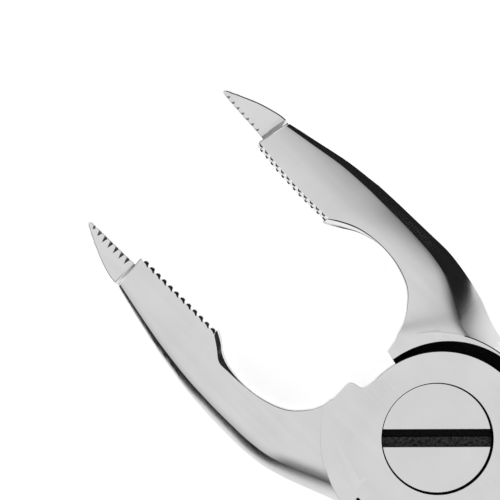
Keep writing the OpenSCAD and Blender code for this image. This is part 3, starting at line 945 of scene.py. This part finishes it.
def build():
    lever_steel = steel("lever_steel", (0.81, 0.81, 0.81), 0.20, 0.25)
    point_steel = steel("point_steel", (0.85, 0.85, 0.85), 0.20, 0.2)
    back_a = steel("back_a_steel", (0.80, 0.80, 0.80), 0.18, 0.2, 0, 0.33, SATIN_A)
    back_b = steel("back_b_steel", (0.80, 0.80, 0.80), 0.13, 0.15, 0, 0.30, SATIN_B)
    screw_steel = steel("screw_steel", (0.80, 0.80, 0.80), 0.20, 0.25, SLOT_TURN)
    spring_steel = steel("spring_steel", (0.58, 0.59, 0.61), 0.26, 0.35)
    bronze = steel("washer_bronze", (0.66, 0.48, 0.27), 0.32, 0.3)
    # Near-black painted shade for the gaps between the levers, the bores and the screw slot's walls
    gap_painted_shade = patina_and_painted_shade("painted_shade_gap", 0.004, 0.010, 0.7)
    slot_dark = patina_and_painted_shade("slot_dark", 0.012, 0.10, 0.6)
    # Painted shade on the tip-side walls of the fine teeth: dark on one lever, grey on the other
    notch_a_shade = patina_and_painted_shade("painted_shade_notch_a", 0.14, 0.34, 0.5)
    notch_b_shade = patina_and_painted_shade("painted_shade_notch_b", 0.45, 0.75, 0.5)

    upper = upper_lever()
    lower = lower_lever()

    def side_face(c, n, way):
        """Back of the jaw, the points, and the tip-side walls of the fine teeth, which get painted
        shade.
        """
        # Painted shade: the tip-facing walls of the fine teeth get the darker material
        if c.x > POINT_TEETH_X and n.x < -0.25 and n.y * way < -0.1 and abs(n.z) > 0.3:
            return 3
        if c.x > JAW_FRONT_X:
            return 4
        if JAW_BACK_X < c.x and n.y * way > 0.25 and math.hypot(c.x, c.y) > B_LAND_R:
            return 2
        return 0

    def recess_face(c, n, way):
        """Walls and face that clear the other lever's lap; they get near-black painted shade."""
        jaw_r = math.hypot(c.x - SHOULDER_CENTRE[0], way * c.y - SHOULDER_CENTRE[1])
        handle_r = math.hypot(c.x, c.y)
        depth = c.z if way > 0 else HEAD_T - c.z
        if depth > LAP_HIGH_Z + 0.02:
            return False
        if abs(depth - LAP_HIGH_Z) < 0.02 and abs(n.z) > 0.5:
            return True
        facing = (c.x - SHOULDER_CENTRE[0]) * n.x + (way * c.y - SHOULDER_CENTRE[1]) * n.y * way
        on_jaw_wall = abs(jaw_r - JAW_SHOULDER_R) < NEAR and c.y * way > 0 and facing < 0
        on_handle_wall = abs(handle_r - HANDLE_SHOULDER_R) < NEAR and c.y * way < 0
        return abs(n.z) < 0.5 and (on_jaw_wall or on_handle_wall)

    def upper_face(c, n):
        r = math.hypot(c.x, c.y)
        # Painted shade, near-black, in the counterbore ring and bore round the screw head and on the
        # lap recess
        if r < SCREW_HEAD_D / 2 + RING_GAP + 0.2 and c.z < HEAD_T - 0.01:
            return 1
        return 1 if recess_face(c, n, 1) else side_face(c, n, 1)

    def lower_face(c, n):
        # Painted shade, near-black, in the bore and on the lap recess; the bore test also takes in
        # the lap's large underside face, whose centre lies near the axis
        if math.hypot(c.x, c.y) < THREAD_D / 2 + 0.2 or recess_face(c, n, -1):
            return 1
        return side_face(c, n, -1)

    paint(upper, [lever_steel, gap_painted_shade, back_a, notch_a_shade, point_steel], upper_face)
    paint(lower, [lever_steel, gap_painted_shade, back_b, notch_b_shade, point_steel], lower_face)
    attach(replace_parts(upper, "lever_a"), "moving_lever")
    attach(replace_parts(lower, "lever_b"), "fixed_lever")

    screw = pivot_screw()
    slot_x, slot_y = heading(SLOT_TURN - 90)

    def screw_face(c, n):
        side = c.x * slot_x + c.y * slot_y
        if abs(side) > SLOT_W / 2 + NEAR or c.z > HEAD_T - 0.04 or c.z < HEAD_T - SLOT_DEPTH - 0.6:
            return 0
        # The slot's floor keeps its dark patina; its walls and deeper groove get near-black painted
        # shade
        return 1 if abs(n.z) > 0.5 and c.z > HEAD_T - SLOT_DEPTH - 0.1 else 2

    paint(screw, [screw_steel, slot_dark, gap_painted_shade], screw_face)
    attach(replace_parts(screw, "pivot_screw"), "fixed_lever")

    for node, body, flip in (("spring_screw_a", "moving_lever", False),
                             ("spring_screw_b", "fixed_lever", True)):
        small = spring_screw(node + "_steel")
        if flip:
            turn_over(small)
        finish_shape(small)
        paint(small, [screw_steel], lambda c, n: 0)
        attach(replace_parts(small, node), body)

    for node, body, other, forked in (("leaf_spring_a", "moving_lever", "fixed_lever", False),
                                      ("leaf_spring_b", "fixed_lever", "moving_lever", True)):
        leaf = leaf_spring(node + "_strip", forked)
        if forked:
            turn_over(leaf)
        finish_shape(leaf)
        paint(leaf, [spring_steel], lambda c, n: 0)
        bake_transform(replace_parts(leaf, node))

    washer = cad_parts["thrust_washer"]
    washer.data.materials.clear()
    washer.data.materials.append(bronze)


# ---- Floor, light and camera ----

def stage():
    """Plain pale floor, and soft light that is bright overhead and dark near the horizon."""
    h = FLOOR_HALF
    mesh = bpy.data.meshes.new("floor")
    mesh.from_pydata([(-h, -h, 0), (h, -h, 0), (h, h, 0), (-h, h, 0)], [], [(0, 1, 2, 3)])
    floor = bpy.data.objects.new("floor", mesh)
    floor.location.z = -FLOOR_DROP
    bpy.context.scene.collection.objects.link(floor)
    material, tree, shader = new_material("floor_white")
    shader.inputs["Base Color"].default_value = (0.8, 0.8, 0.8, 1)
    shader.inputs["Roughness"].default_value = 1.0
    shader.inputs["Specular IOR Level"].default_value = 0.0
    shader.inputs["Emission Color"].default_value = (1, 1, 1, 1)
    shader.inputs["Emission Strength"].default_value = 0.70
    mesh.materials.append(material)

    world = bpy.data.worlds.new("studio")
    bpy.context.scene.world = world
    world.use_nodes = True
    tree = world.node_tree
    tree.nodes.clear()
    place = tree.nodes.new("ShaderNodeTexCoord")
    split = tree.nodes.new("ShaderNodeSeparateXYZ")
    tree.links.new(place.outputs["Generated"], split.inputs["Vector"])
    side_on = tree.nodes.new("ShaderNodeMath")
    side_on.operation = "ABSOLUTE"
    tree.links.new(split.outputs["Y"], side_on.inputs[0])
    low = ramp(tree, side_on.outputs[0], [(0.50, 0.35), (0.72, 0.014)])
    side_shift = tree.nodes.new("ShaderNodeMath")
    side_shift.operation = "MULTIPLY_ADD"
    side_shift.inputs[1].default_value = 0.5
    side_shift.inputs[2].default_value = 0.5
    tree.links.new(split.outputs["Y"], side_shift.inputs[0])
    high = ramp(tree, side_shift.outputs[0], [(0.2, 0.12), (0.36, 0.5), (0.48, 0.84), (0.56, 0.84),
                                             (0.80, 0.25)])
    climb = ramp(tree, split.outputs["Z"], [(0.36, 0.0), (0.62, 0.75), (0.86, 1.0)])
    product = tree.nodes.new("ShaderNodeMix")
    product.data_type = "RGBA"
    tree.links.new(climb, product.inputs["Factor"])
    tree.links.new(low, product.inputs["A"])
    tree.links.new(high, product.inputs["B"])
    sky = tree.nodes.new("ShaderNodeBackground")
    tree.links.new(product.outputs["Result"], sky.inputs["Color"])
    pale = tree.nodes.new("ShaderNodeBackground")
    pale.inputs["Color"].default_value = (1, 1, 1, 1)
    path = tree.nodes.new("ShaderNodeLightPath")
    choose = tree.nodes.new("ShaderNodeMixShader")
    output = tree.nodes.new("ShaderNodeOutputWorld")
    tree.links.new(path.outputs["Is Camera Ray"], choose.inputs["Fac"])
    tree.links.new(sky.outputs["Background"], choose.inputs[1])
    tree.links.new(pale.outputs["Background"], choose.inputs[2])
    tree.links.new(choose.outputs["Shader"], output.inputs["Surface"])


def camera():
    """Long lens looking straight down at the jaws."""
    data = bpy.data.cameras.new("camera")
    data.lens = LENS
    data.sensor_width = SENSOR_W
    obj = bpy.data.objects.new("camera", data)
    bpy.context.scene.collection.objects.link(obj)
    right = Vector((*VIEW_RIGHT, 0)).normalized()
    up = Vector((0, 0, 1)).cross(right)
    basis = Matrix((right, up, Vector((0, 0, 1)))).transposed().to_4x4()
    height = HEAD_T + VIEW_W * data.lens / data.sensor_width
    basis.translation = Vector((*VIEW_AIM, height)) * MM
    obj.matrix_world = basis
    bpy.context.scene.camera = obj


build()
stage()
camera()
bpy.context.scene.view_settings.view_transform = "Standard"
